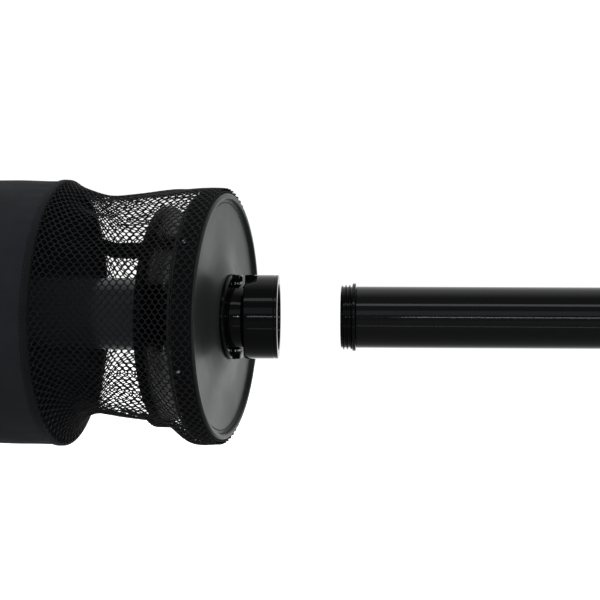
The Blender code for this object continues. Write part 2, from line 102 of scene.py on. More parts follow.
def addBump(tree, shader, height, strength, distance):
    inputs = {"Height": height, "Strength": strength, "Distance": distance * mm}
    bump = addNode(tree, "ShaderNodeBump", inputs)
    tree.links.new(bump.outputs["Normal"], shader.inputs["Normal"])


def mixColours(tree, share, first, second):
    mix = addNode(tree, "ShaderNodeMix", {"Factor": share}, data_type="RGBA")
    mix.inputs["A"].default_value = (*first, 1.0)
    mix.inputs["B"].default_value = (*second, 1.0)
    return mix.outputs["Result"]


# moulded plastic: uneven gloss, faint drag lines along X, fine grain and a little dust
def makePlastic(name, look):
    material, tree, shader, place = startMaterial(name, look)
    cloudy = noiseNode(tree, place, look.get("cloud", 22.0), 4.0)
    stretched = addNode(tree, "ShaderNodeMapping", {"Vector": place, "Scale": (0.03, 1.0, 1.0)}).outputs[0]
    drag = noiseNode(tree, stretched, 900.0, 2.0)
    grain = noiseNode(tree, place, look.get("grain", 1800.0), 2.0)
    spread = look.get("spread", 0.04)
    rough = remap(tree, cloudy, 0.3, 0.7, look["roughness"] - spread, look["roughness"] + spread)
    tree.links.new(rough, shader.inputs["Roughness"])
    dust = remap(tree, noiseNode(tree, place, 650.0, 5.0, 0.7), 0.62, 0.74, 0.0, look.get("dust", 0.25))
    pale = tuple(c * 2.2 + 0.02 for c in look["colour"])
    tree.links.new(mixColours(tree, dust, look["colour"], pale), shader.inputs["Base Color"])
    height = mathNode(tree, "MULTIPLY_ADD", drag, look.get("drag", 0.3), grain)
    addBump(tree, shader, height, look.get("relief", 0.05), look.get("depth", 0.06))
    return material


# cloth: crossed yarns round the axis and along it, or flat, with lint, random yarn tone and painted shade in
# the low points of the weave
def makeCloth(name, look):
    material, tree, shader, place = startMaterial(name, look)
    split = addNode(tree, "ShaderNodeSeparateXYZ", {"Vector": place}).outputs
    if look.get("flat"):
        along, across = split["Y"], split["Z"]
    else:
        turn = mathNode(tree, "ARCTAN2", split["Y"], split["Z"])
        along, across = split["X"], mathNode(tree, "MULTIPLY", turn, look.get("wrapRadius", 0.104))
    wobble = mathNode(tree, "MULTIPLY", noiseNode(tree, place, 160.0, 2.0), 0.6 * mm)
    waves = []
    for coordinate in (along, across):
        moved = mathNode(tree, "ADD", coordinate, wobble)
        phase = mathNode(tree, "MULTIPLY", moved, math.pi / (look["yarn"] * mm))
        waves.append(mathNode(tree, "SINE", phase))
    weave = mathNode(tree, "MULTIPLY", waves[0], waves[1])
    lint = noiseNode(tree, place, 900.0, 6.0, 0.75)
    height = mathNode(tree, "MULTIPLY_ADD", lint, look.get("fuzz", 1.2), weave)
    addBump(tree, shader, height, look.get("relief", 0.6), look.get("depth", 0.14))
    # painted shade: the colour follows the weave height, darker in the low points and paler on the yarn
    # crests; the noise added next is random yarn tone
    shade = remap(tree, weave, -1.0, 1.0, 0.25, 0.75)
    shade = mathNode(tree, "MULTIPLY_ADD", noiseNode(tree, place, 45.0, 4.0), 0.5, shade)
    dark = tuple(c * 0.55 for c in look["colour"])
    pale = tuple(c * 1.6 for c in look["colour"])
    colour = mixColours(tree, mathNode(tree, "SUBTRACT", shade, 0.25), dark, pale)
    tree.links.new(colour, shader.inputs["Base Color"])
    return material


# metal: brushed scratches, darker tarnish in patches
def makeMetal(name, look):
    material, tree, shader, place = startMaterial(name, look)
    tarnish = remap(tree, noiseNode(tree, place, 240.0, 5.0), 0.45, 0.7, 0.0, 0.6)
    dull = tuple(c * 0.45 for c in look["colour"])
    tree.links.new(mixColours(tree, tarnish, look["colour"], dull), shader.inputs["Base Color"])
    scratch = noiseNode(tree, place, 2600.0, 3.0)
    tree.links.new(remap(tree, scratch, 0.3, 0.7, look["roughness"] - 0.08, look["roughness"] + 0.1),
                   shader.inputs["Roughness"])
    addBump(tree, shader, scratch, 0.15, 0.05)
    return material


looks = {
    "gloss": {"colour": (0.002, 0.0022, 0.0023), "roughness": 0.08, "ior": 1.23, "relief": 0.03},
    "tubeGloss": {"colour": (0.004, 0.0042, 0.0045), "roughness": 0.07, "spread": 0.025, "ior": 1.3,
                  "relief": 0.025},
    "pipeGloss": {"colour": (0.034, 0.041, 0.047), "roughness": 0.14, "ior": 1.5, "relief": 0.05},
    "satin": {"colour": (0.003, 0.0032, 0.0036), "roughness": 0.24, "relief": 0.12, "ior": 1.16},
    "plate": {"colour": (0.027, 0.0305, 0.0300), "roughness": 0.36, "relief": 0.1, "spread": 0.05,
              "ior": 1.26},
    "rubber": {"colour": (0.012, 0.012, 0.012), "roughness": 0.62, "relief": 0.3},
    "cord": {"colour": (0.0120, 0.0120, 0.0135), "roughness": 0.6, "yarn": 0.5, "relief": 0.5,
             "specular": 0.22},
    "fabric": {"colour": (0.026, 0.0285, 0.0325), "roughness": 0.85, "yarn": 0.9, "specular": 0.12},
    "flatFabric": {"colour": (0.026, 0.0285, 0.0325), "roughness": 0.85, "yarn": 0.9, "flat": True,
                   "specular": 0.12},
    "webbing": {"colour": (0.013, 0.0148, 0.0165), "roughness": 0.8, "yarn": 0.7, "depth": 0.2,
                "specular": 0.15},
    "hemCloth": {"colour": (0.007, 0.0072, 0.0075), "roughness": 0.8, "yarn": 0.8, "specular": 0.12},
    "flatWebbing": {"colour": (0.015, 0.016, 0.018), "roughness": 0.8, "yarn": 1.1, "flat": True,
                    "depth": 0.25,
                    "specular": 0.15},
    "thread": {"colour": (0.034, 0.038, 0.042), "roughness": 0.6, "yarn": 0.3, "specular": 0.3},
    "steel": {"colour": (0.42, 0.42, 0.44), "roughness": 0.3, "metallic": 1.0},
    "nylon": {"colour": (0.018, 0.018, 0.019), "roughness": 0.4, "relief": 0.1},
}
paints = {}
for paintName in ("gloss", "tubeGloss", "pipeGloss", "satin", "plate", "rubber", "nylon"):
    paints[paintName] = makePlastic(paintName, looks[paintName])
for paintName in ("cord", "fabric", "flatFabric", "webbing", "hemCloth", "flatWebbing", "thread"):
    paints[paintName] = makeCloth(paintName, looks[paintName])
paints["steel"] = makeMetal("steel", looks["steel"])
print("materials ready")


def finishPiece(name, bm, paint, body=None, sharpAngle=35.0):
    if body not in tubeSide + ("straight",):
        bmesh.ops.transform(bm, matrix=swung, verts=bm.verts)
    data = bpy.data.meshes.new(name)
    bm.to_mesh(data)
    bm.free()
    piece = bpy.data.objects.new(name, data)
    scene.collection.objects.link(piece)
    data.materials.append(paints[paint])
    data.shade_smooth()
    data.set_sharp_from_angle(angle=math.radians(sharpAngle))
    if body and body != "straight":
        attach(piece, body)
    return piece


# rounds the corners of a line of (x, radius, fillet) points, in millimetres
def roundCorners(corners, closed=True, segments=4):
    line = []
    count = len(corners)
    for index, corner in enumerate(corners):
        here = Vector(corner[:2])
        fillet = corner[2] if len(corner) > 2 else 0.0
        isEnd = not closed and index in (0, count - 1)
        if fillet <= 0.0 or isEnd:
            line.append(here)
            continue
        before = Vector(corners[index - 1][:2]) - here
        after = Vector(corners[(index + 1) % count][:2]) - here
        start = here + before.normalized() * min(fillet, before.length * 0.49)
        end = here + after.normalized() * min(fillet, after.length * 0.49)
        for step in range(segments + 1):
            t = step / segments
            line.append(start * (1 - t) ** 2 + here * 2 * t * (1 - t) + end * t ** 2)
    return line


def spinLine(bm, corners, closed=True, steps=128):
    line = roundCorners(corners, closed)
    verts = [bm.verts.new((p.x * mm, 0.0, p.y * mm)) for p in line]
    edges = [bm.edges.new(pair) for pair in zip(verts, verts[1:])]
    if closed:
        edges.append(bm.edges.new((verts[-1], verts[0])))
    bmesh.ops.spin(bm, geom=verts + edges, cent=(0.0, 0.0, 0.0), axis=axisX, dvec=(0.0, 0.0, 0.0),
                   angle=math.tau, steps=steps, use_merge=True)
    bmesh.ops.remove_doubles(bm, verts=bm.verts, dist=2e-6)
    bmesh.ops.recalc_face_normals(bm, faces=bm.faces)


def turnedPiece(name, corners, paint, body, closed=True, steps=128):
    bm = bmesh.new()
    spinLine(bm, corners, closed, steps)
    return finishPiece(name, bm, paint, body)


# moves copies of whatever is in a bmesh round X
def repeatRound(bm, count, start=0.0):
    geom = list(bm.verts) + list(bm.edges) + list(bm.faces)
    turn = Matrix.Rotation(math.radians(start), 3, "X")
    bmesh.ops.rotate(bm, cent=(0.0, 0.0, 0.0), matrix=turn, verts=bm.verts)
    for index in range(1, count):
        made = bmesh.ops.duplicate(bm, geom=geom)["geom"]
        verts = [g for g in made if isinstance(g, bmesh.types.BMVert)]
        turn = Matrix.Rotation(math.tau * index / count, 3, "X")
        bmesh.ops.rotate(bm, cent=(0.0, 0.0, 0.0), matrix=turn, verts=verts)


def roundedBox(bm, size, centre, bevel, segments=2):
    verts = bmesh.ops.create_cube(bm, size=mm)["verts"]
    bmesh.ops.scale(bm, vec=size, verts=verts)
    bmesh.ops.translate(bm, vec=[c * mm for c in centre], verts=verts)
    edges = list({e for v in verts for e in v.link_edges})
    made = bmesh.ops.bevel(bm, geom=edges, offset=bevel * mm, segments=segments, profile=0.5,
                           affect="EDGES", material=-1)
    return made["verts"]


# points round a circle in the plane of the axis, for wires and piping
def circleLine(x, radius, thick, sides=12):
    turns = np.linspace(0, math.tau, sides, endpoint=False)
    return [(x + thick * math.cos(a), radius + thick * math.sin(a)) for a in turns]


def onlyVerts(made):
    return [g for g in made if isinstance(g, bmesh.types.BMVert)]


# flat band of webbing along a line of (x, height) points
def makeBand(bm, band):
    corners = [(*point, band["bend"]) for point in band["line"]]
    line = roundCorners(corners, closed=False, segments=band["segments"])
    verts = [bm.verts.new((p.x * mm, -band["width"] / 2 * mm, p.y * mm)) for p in line]
    edges = [bm.edges.new(pair) for pair in zip(verts, verts[1:])]
    for _ in range(band["rows"]):
        made = bmesh.ops.extrude_edge_only(bm, edges=edges)["geom"]
        edges = [g for g in made if isinstance(g, bmesh.types.BMEdge)]
        step = band["width"] / band["rows"] * mm
        bmesh.ops.translate(bm, vec=(0.0, step, 0.0), verts=onlyVerts(made))
    bmesh.ops.recalc_face_normals(bm, faces=bm.faces)
    bmesh.ops.solidify(bm, geom=list(bm.faces), thickness=band["thickness"] * mm)


# tube
tube = {"outer": 24.0, "bore": 22.0, "start": 60.6, "middle": 330.0, "end": 600.0}
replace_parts(turnedPiece("tube_wall", [
    (tube["start"], tube["bore"], 0.4), (tube["start"], tube["outer"], 0.5), (tube["middle"], tube["outer"]),
    (tube["end"], tube["outer"], 0.5), (tube["end"], tube["bore"], 0.4),
], "tubeGloss", "tube", steps=160), "tube_pipe")

thread = {"start": 48.6, "root": 23.9, "crest": 25.3, "pitch": 2.9, "turns": 2.7, "steps": 72, "bore": 20.2,
          "stop": 57.4, "stopEnd": 60.4, "stopRadius": 26.5, "plug": 21.7, "end": 78.0,
          "lead": 0.9, "width": 0.36, "fade": 1.6, "sunk": 0.5}


def makeThreadEnd():
    bm = bmesh.new()
    spinLine(bm, [
        (thread["start"], thread["bore"], 0.4), (thread["start"], thread["root"], 0.7),
        (thread["stop"], thread["root"], 0.3), (thread["stop"] + 0.2, thread["stopRadius"], 0.7),
        (thread["stopEnd"] - 0.1, thread["stopRadius"], 0.7), (thread["stopEnd"], thread["plug"], 0.2),
        (thread["end"], thread["plug"], 0.6), (thread["end"], thread["bore"], 0.6),
    ])
    # helical ridge, sunk at both ends
    half = thread["pitch"] * thread["width"]
    first = thread["start"] + thread["lead"]
    profile = [(first - half, thread["root"] - 0.4), (first - half * 0.35, thread["crest"]),
               (first + half * 0.35, thread["crest"]), (first + half, thread["root"] - 0.4)]
    verts = [bm.verts.new((x * mm, 0.0, r * mm)) for x, r in profile]
    edges = [bm.edges.new(pair) for pair in zip(verts, verts[1:])]
    edges.append(bm.edges.new((verts[-1], verts[0])))
    steps = int(thread["steps"] * thread["turns"])
    known = set(bm.verts) - set(verts)
    bmesh.ops.spin(bm, geom=verts + edges, cent=(0.0, 0.0, 0.0), axis=axisX,
                   dvec=(thread["pitch"] * mm / thread["steps"], 0.0, 0.0),
                   angle=math.tau * thread["turns"], steps=steps)
    turned = [v for v in bm.verts if v not in known]
    low, high = min(v.co.x for v in turned), max(v.co.x for v in turned)
    fadeLength = thread["fade"] * mm
    sunk = (thread["root"] - thread["sunk"]) * mm
    for v in turned:
        fade = min(1.0, (v.co.x - low) / fadeLength, (high - v.co.x) / fadeLength)
        radius = math.hypot(v.co.y, v.co.z)
        scale = (sunk + (radius - sunk) * max(fade, 0.0) ** 0.5) / radius
        v.co.y *= scale
        v.co.z *= scale
    bmesh.ops.recalc_face_normals(bm, faces=bm.faces)
    piece = finishPiece("threaded_end", bm, "gloss", "tube", 50.0)
    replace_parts(piece, "tube_thread_end")


makeThreadEnd()
mouthRing = {"start": 585.0, "end": 604.2, "seat": 24.3, "outer": 26.2, "lip": 20.5, "lipStart": 600.3,
             "grooves": 3, "firstGroove": 589.0, "grooveStep": 3.6, "grooveDepth": 0.6}


def makeMouthRing():
    start, end, outer = mouthRing["start"], mouthRing["end"], mouthRing["outer"]
    floorRadius = outer - mouthRing["grooveDepth"]
    line = [(start, mouthRing["seat"], 0.2), (start, outer, 0.6)]
    for index in range(mouthRing["grooves"]):
        x = mouthRing["firstGroove"] + mouthRing["grooveStep"] * index
        line += [(x, outer, 0.2), (x + 0.4, floorRadius, 0.2), (x + 1.2, floorRadius, 0.2),
                 (x + 1.6, outer, 0.2)]
    line += [(end - 1.9, outer, 0.8), (end, outer - 1.7, 0.8), (end, mouthRing["lip"], 0.6),
             (mouthRing["lipStart"], mouthRing["lip"], 0.3), (mouthRing["lipStart"], mouthRing["seat"], 0.2)]
    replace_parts(turnedPiece("mouth_ring", line, "satin", "tube"), "tube_mouth_ring")


makeMouthRing()
print("tube ready")

# collar, with wedge notches in its rear edge
collar = {"radius": 32.75, "back": -26.5, "bore": 25.9, "waist": -12.5, "clipRoom": 28.5, "groove": 0.25,
          "notchDepth": 9.5, "notchHalf": 19.0, "notchFlat": 0.45, "notchAngles": (72.0, 252.0)}


def makeCollar():
    bm = bmesh.new()
    back, radius, bore, room = collar["back"], collar["radius"], collar["bore"], collar["clipRoom"]
    inGroove = radius - collar["groove"]
    spinLine(bm, [
        (0.0, bore, 0.5), (0.0, radius, 1.0), (-2.6, radius, 0.2), (-2.9, inGroove, 0.2),
        (-3.3, inGroove, 0.2), (-3.6, radius, 0.2), (-8.0, radius), (collar["waist"], radius),
        (-17.0, radius), (-22.0, radius),
        (back, radius, 1.1), (back, throat, 0.4), (-22.5, throat, 0.3), (-22.5, room, 0.4), (-17.0, room),
        (collar["waist"], room), (-9.5, room, 0.3), (-9.5, bore, 0.3),
    ], steps=240)
    # the outer skin behind the waist is drawn forward at each notch
    waist = collar["waist"] * mm
    length = waist - back * mm
    for v in bm.verts:
        if v.co.x > waist or math.hypot(v.co.y, v.co.z) < 26.6 * mm:
            continue
        angle = math.degrees(math.atan2(v.co.z, -v.co.y))
        deep = 0.0
        for middle in collar["notchAngles"]:
            off = abs((angle - middle + 180.0) % 360.0 - 180.0)
            deep = max(deep, (1.0 - off / collar["notchHalf"]) / collar["notchFlat"])
        share = max(0.0, min(1.0, deep)) * collar["notchDepth"] * mm / length
        v.co.x = waist + (v.co.x - waist) * (1.0 - share)
    piece = finishPiece("collar_shell", bm, "gloss", "collar", 32.0)
    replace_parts(piece, "collar")


makeCollar()
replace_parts(turnedPiece("clip_ring", [
    (-20.2, 24.3, 0.4), (-20.2, 28.1, 0.6), (-22.1, 28.1, 0.6), (-22.1, 24.3, 0.4),
], "steel", "neck"), "collar_clip")
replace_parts(turnedPiece("seal_ring", [
    (-9.0, 21.0, 0.4), (-9.0, 24.2, 0.4), (-10.5, 24.2, 0.3), (-10.5, 21.0, 0.3),
], "rubber", "neck"), "seal_washer")

# neck with its ball, on two pins
neck = {"front": -10.8, "ball": 25.75, "ballFront": 7.6, "ballBack": -8.5, "radius": 24.6, "bore": 20.6,
        "groove": 23.9, "rows": 14}


def ballLine(radius, first, last, rows):
    places = [first + (last - first) * i / rows for i in range(rows + 1)]
    return [(pivotX + a, math.sqrt(radius * radius - a * a)) for a in places]


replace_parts(turnedPiece("neck_with_ball", [
    (neck["front"], neck["bore"], 0.5), (neck["front"], neck["radius"], 0.6), (-19.9, neck["radius"], 0.1),
    (-19.9, neck["groove"]), (-22.4, neck["groove"]), (-22.4, neck["radius"], 0.1),
    *ballLine(neck["ball"], neck["ballFront"], neck["ballBack"], neck["rows"]),
    (pivotX + neck["ballBack"], neck["bore"], 0.5),
], "gloss", "neck"), "neck_pipe")
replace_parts(turnedPiece("sleeve_wall", [
    (-50.5, 22.0, 0.4), (-50.5, 25.75, 0.5), (-110.0, 25.75, 0.5), (-110.0, 22.0, 0.4),
], "gloss", "end_frame"), "inner_sleeve")

# hub ring: socket for the ball, with two ears
hub = {"front": -35.4, "outer": 32.75, "foot": 32.95,
       "socket": 26.05, "socketBack": -9.1, "socketFront": -1.4,
       # size, centre, bevel and bevel steps of the blocks that make up one ear
       "ear": (((7.2, 9.0, 4.8), (-33.2, 0.0, 29.7), 0.9, 3), ((2.4, 9.6, 5.6), (-30.4, 0.0, 29.9), 0.7, 3),
               ((5.6, 5.2, 1.2), (-33.4, 0.0, 32.3), 0.4, 2))}


def makeHub():
    bm = bmesh.new()
    front, outer, foot = hub["front"], hub["outer"], hub["foot"]
    socket = ballLine(hub["socket"], hub["socketBack"], hub["socketFront"], 8)
    spinLine(bm, socket + [(front, 29.0, 0.2), (front + 0.7, 29.6, 0.3), (front + 0.7, 31.4, 0.5),
                           (front - 0.6, outer, 0.5), (-41.0, outer, 0.3), (-41.6, foot, 0.2),
                           (-43.1, foot, 0.2)], steps=144)
    ears = bmesh.new()
    for size, centre, bevel, segments in hub["ear"]:
        roundedBox(ears, size, centre, bevel, segments)
    repeatRound(ears, 2)
    data = bpy.data.meshes.new("ears")
    ears.to_mesh(data)
    ears.free()
    bm.from_mesh(data)
    bpy.data.meshes.remove(data)
    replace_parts(finishPiece("hub_with_ears", bm, "gloss", "end_frame", 32.0), "hub_ring")


makeHub()
pin = {"radius": 1.5, "head": 1.9, "top": 33.3, "bottom": 21.8}
for pinSide, pinTurn in (("upper", 0.0), ("lower", math.pi)):
    pinBm = bmesh.new()
    spinLine(pinBm, [
        (pin["top"], 0.0), (pin["top"], pin["radius"], 0.3), (32.8, pin["head"], 0.2), (32.6, pin["radius"]),
        (pin["bottom"], pin["radius"], 0.2), (pin["bottom"], 0.0)], closed=False, steps=24)
    standing = Matrix.Rotation(pinTurn, 4, "X") @ Matrix.Rotation(math.radians(-90.0), 4, "Y")
    pinPlace = Matrix.Translation((pivotX * mm, 0.0, 0.0)) @ standing
    bmesh.ops.transform(pinBm, matrix=pinPlace, verts=pinBm.verts)
    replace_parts(finishPiece(f"pin_{pinSide}", pinBm, "steel", "end_frame"), f"swivel_pin_{pinSide}")
print("collar, neck and hub ready")

# end plate, gasket, nut
plate = {"face": -43.4, "back": -46.4, "boss": -38.0, "rim": -40.4, "skirt": -59.4,
         "outer": 96.3, "inner": 93.3}
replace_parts(turnedPiece("plate_shell", [
    (plate["face"], throat, 0.3), (plate["face"], 33.15), (plate["boss"], 33.15, 0.2),
    (plate["boss"], 34.6, 0.5), (-38.8, 37.5, 1.5), (-40.4, 42.0, 3.0), (-42.2, 48.5, 3.0),
    (plate["face"], 58.0, 5.0), (plate["face"], 80.0), (plate["face"], 88.6, 0.2),
    (-44.0, 89.2, 0.3), (-44.0, 91.2, 0.3), (-43.0, 91.7, 0.3),
    (plate["rim"], 92.2, 0.9), (plate["rim"], 95.2, 0.9), (-41.6, plate["outer"], 0.7),
    (plate["skirt"], plate["outer"], 0.6), (plate["skirt"], plate["inner"], 0.6),
    (plate["back"], plate["inner"], 0.6), (plate["back"], 60.0), (plate["back"], throat, 0.3),
], "plate", "end_frame", steps=192), "end_plate")
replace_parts(turnedPiece("gasket_ring", [
    (-46.7, throat, 0.2), (-46.7, 36.0, 0.6), (-48.2, 36.0, 0.6), (-48.2, throat, 0.2),
], "rubber", "end_frame"), "plate_gasket")

nut = {"front": -48.5, "back": -55.5, "radius": 34.0, "flat": 31.6, "flatHalf": 5.2, "firstFlat": 15.0}


def makeNut():
    bm = bmesh.new()
    spinLine(bm, [
        (nut["front"], throat, 0.4), (nut["front"], nut["radius"], 0.8), (-50.0, nut["radius"]),
        (-54.0, nut["radius"]), (nut["back"], nut["radius"], 0.9), (nut["back"], throat, 0.5)], steps=144)
    # six shallow grips
    for v in bm.verts:
        radius = math.hypot(v.co.y, v.co.z)
        angle = math.degrees(math.atan2(v.co.y, v.co.z))
        off = abs((angle - nut["firstFlat"] + 30.0) % 60.0 - 30.0)
        if radius > 33.0 * mm and off < nut["flatHalf"]:
            v.co.y *= nut["flat"] * mm / radius
            v.co.z *= nut["flat"] * mm / radius
    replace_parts(finishPiece("ring_nut_body", bm, "satin", "end_frame", 30.0), "ring_nut")


makeNut()

# spreader, its screws, the standpipe
spreader = {"front": -85.5, "back": -88.5, "ridge": -84.9, "rim": -91.5, "outer": 86.0}
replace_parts(turnedPiece("spreader_disc", [
    (spreader["front"], throat, 0.3), (spreader["front"], 50.0), (spreader["front"], 70.0, 0.4),
    (spreader["ridge"], 71.0, 0.4), (spreader["ridge"], 84.0, 1.1), (-87.2, spreader["outer"], 1.1),
    (spreader["rim"], spreader["outer"], 0.7), (spreader["rim"], 83.0, 0.6), (spreader["back"], 82.4, 0.6),
    (spreader["back"], 50.0), (spreader["back"], throat, 0.3),
], "satin", "end_frame", steps=192), "spreader_plate")
standpipe = {"front": -88.8, "flange": -92.8, "end": -330.0, "flangeRadius": 40.0, "outer": 28.5}
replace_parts(turnedPiece("standpipe_wall", [
    (standpipe["front"], throat, 0.4), (standpipe["front"], standpipe["flangeRadius"], 0.6),
    (standpipe["flange"], standpipe["flangeRadius"], 0.8), (standpipe["flange"], 28.7, 0.7),
    (-110.0, standpipe["outer"]), (standpipe["end"], standpipe["outer"], 0.5),
    (standpipe["end"], throat, 0.5), (-110.0, throat),
], "pipeGloss", "end_frame"), "standpipe")
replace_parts(turnedPiece("standpipe_lip_ring", [
    (-330.3, 25.5, 0.3), (-330.3, 29.7, 0.5), (-333.3, 29.7, 0.6), (-334.8, 28.2, 0.6), (-334.8, 26.5, 0.5),
    (-333.8, 25.5, 0.5)], "rubber", "end_frame"), "standpipe_lip")

screw = {"count": 4, "first": 45.0, "radius": 3.4, "height": 2.2, "ring": 34.0, "seat": -84.9,
         "slotHalf": 0.5, "slotDepth": 0.9, "shank": -3.5}
rivet = {"count": 6, "radius": 1.9, "height": 1.3, "x": -53.5, "seat": 98.9, "first": -70.0}


# dome head with a cross recess, made along +X from its seat and then put in place
def makeScrew(name, place, turn, radius, height, node, slotted=True):
    bm = bmesh.new()
    shank, shankRadius = screw["shank"], radius * 0.5
    spinLine(bm, [(height, 0.0), (height, radius * 0.45), (height * 0.55, radius * 0.88, 0.3),
                  (0.0, radius, 0.2), (0.0, shankRadius), (shank, shankRadius), (shank, 0.0)],
             closed=False, steps=32)
    if slotted:
        for v in bm.verts:
            inSlot = min(abs(v.co.y), abs(v.co.z)) < screw["slotHalf"] * mm
            inHead = math.hypot(v.co.y, v.co.z) < radius * 0.5 * mm and v.co.x > height * 0.9 * mm
            if inSlot and inHead:
                v.co.x -= screw["slotDepth"] * mm
    bmesh.ops.transform(bm, matrix=Matrix.Translation(Vector(place) * mm) @ turn, verts=bm.verts)
    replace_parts(finishPiece(name, bm, "steel", "end_frame", 30.0), node)


for screwIndex in range(screw["count"]):
    screwAngle = math.radians(screw["first"] + 90.0 * screwIndex)
    screwPlace = (screw["seat"], screw["ring"] * math.sin(screwAngle), screw["ring"] * math.cos(screwAngle))
    makeScrew(f"spreader_screw_head_{screwIndex + 1}", screwPlace, Matrix.Identity(4), screw["radius"],
              screw["height"], f"spreader_screw_{screwIndex + 1}")
for rivetIndex in range(rivet["count"]):
    rivetTurn = Matrix.Rotation(math.radians(60.0 * rivetIndex + rivet["first"]), 4, "X")
    rivetPlace = rivetTurn @ Vector((rivet["x"], 0.0, rivet["seat"]))
    makeScrew(f"hem_rivet_head_{rivetIndex + 1}", rivetPlace,
              rivetTurn @ Matrix.Rotation(math.radians(-90.0), 4, "Y"), rivet["radius"], rivet["height"],
              f"hem_rivet_{rivetIndex + 1}", slotted=False)
print("plates and fixings ready")

# hem band under the mesh, and its elastic cord
hemBand = turnedPiece("hem_band_cloth", [
    (-42.2, 96.7, 0.3), (-42.2, 98.1, 0.5), (-58.0, 98.1, 0.5), (-58.0, 96.7, 0.3),
], "hemCloth", "end_frame", steps=160)
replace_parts(hemBand, "hem_band")
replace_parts(turnedPiece("hem_elastic", [
    (-60.1, 94.2, 0.6), (-60.1, 95.8, 0.6), (-62.3, 95.8, 0.6), (-62.3, 94.2, 0.6),
], "rubber", "end_frame"), "hem_cord")

# mesh section
net = {
    "pairs": 80, "tiles": 22, "pitch": 6.4, "row": 3.69, "shoulder": 0.68, "strand": 0.44, "corner": 0.68,
    "thickness": 1.05, "edgeShare": 0.35, "front": -43.0, "rim": -170.3,
    # slack between these places, eased in and out over these lengths
    "slack": (-64.0, -166.0), "ease": (26.0, 22.0),
    # where it lies on the spreader: from, to, radius
    "spreader": (-83.0, -95.0, 87.6),
    # soft waves: height, count round, phase, twist along X
    "waves": ((1.5, 5.0, 0.6, 0.012), (1.1, 9.0, 2.0, -0.02), (0.8, 14.0, 4.1, 0.03)),
    # distance from the axis along X, at the top and at the underside
    "x": (-43.0, -52.0, -60.0, -67.0, -76.0, -92.0, -106.0, -120.0, -136.0, -146.0, -153.0, -160.0,
          -167.0, -170.3),
    "top": (99.8, 100.2, 99.8, 99.4, 98.2, 96.2, 94.4, 92.6, 91.0, 92.2, 95.5, 98.4, 102.0, 103.3),
    "low": (99.6, 100.4, 101.0, 99.0, 90.5, 84.8, 84.0, 82.4, 80.4, 78.0, 79.6, 84.0, 94.0, 103.3),
    # pull lines: start and end as (x, degrees above level on the near side), height, half width in degrees
    "pulls": (
        ((-93.0, -86.0), (-120.0, -45.0), -3.2, 3.4), ((-126.0, -25.0), (-156.0, -63.0), 2.6, 5.0),
        ((-84.0, 66.0), (-112.0, 58.0), -2.4, 3.4), ((-118.0, 62.0), (-160.0, 78.0), -2.0, 4.0),
        ((-104.0, 20.0), (-160.0, 6.0), -1.6, 4.5), ((-112.0, 42.0), (-162.0, 34.0), 1.6, 5.0),
        ((-98.0, -12.0), (-154.0, -20.0), -1.4, 4.0), ((-95.0, 120.0), (-158.0, 132.0), -2.4, 5.0),
        ((-90.0, 170.0), (-158.0, 160.0), -2.0, 5.0), ((-95.0, -130.0), (-158.0, -120.0), -2.6, 5.0),
        ((-100.0, 95.0), (-160.0, 84.0), -1.8, 5.0), ((-88.0, -66.0), (-110.0, -80.0), -2.2, 3.0),
    ),
}


def netRadius(x, angle):
    keys = np.array(net["x"])[::-1]
    totalTop = np.zeros_like(x)
    totalLow = np.zeros_like(x)
    shifts = (-5.0, -2.5, 0.0, 2.5, 5.0)
    for shift in shifts:
        where = np.clip(x + shift * np.clip((x + 170.0) / 12.0, 0.0, 1.0), net["rim"], net["front"])
        totalTop += np.interp(where, keys, np.array(net["top"])[::-1]) / len(shifts)
        totalLow += np.interp(where, keys, np.array(net["low"])[::-1]) / len(shifts)
    lift = (np.sin(angle) + 1.0) / 2.0
    radius = totalLow + (totalTop - totalLow) * lift
    slackStart, slackEnd = net["slack"]
    easeIn, easeOut = net["ease"]
    slack = np.clip((slackStart - x) / easeIn, 0.0, 1.0) * np.clip((x - slackEnd) / easeOut, 0.0, 1.0)
    slack = slack * slack * (3.0 - 2.0 * slack)
    for height, count, phase, twist in net["waves"]:
        radius += slack * height * np.sin(count * angle + phase + x * twist)
    for start, end, height, half in net["pulls"]:
        share = (x - start[0]) / (end[0] - start[0])
        middle = start[1] + (end[1] - start[1]) * share
        off = (np.degrees(angle) - middle + 180.0) % 360.0 - 180.0
        fade = np.clip(share * 4.0, 0.0, 1.0) * np.clip((1.0 - share) * 4.0, 0.0, 1.0)
        radius += height * fade * np.exp(-(off / half) ** 2) * (share > 0) * (share < 1)
    discStart, discEnd, discRadius = net["spreader"]
    return np.maximum(radius, np.where((x < discStart) & (x > discEnd), discRadius, 0.0))


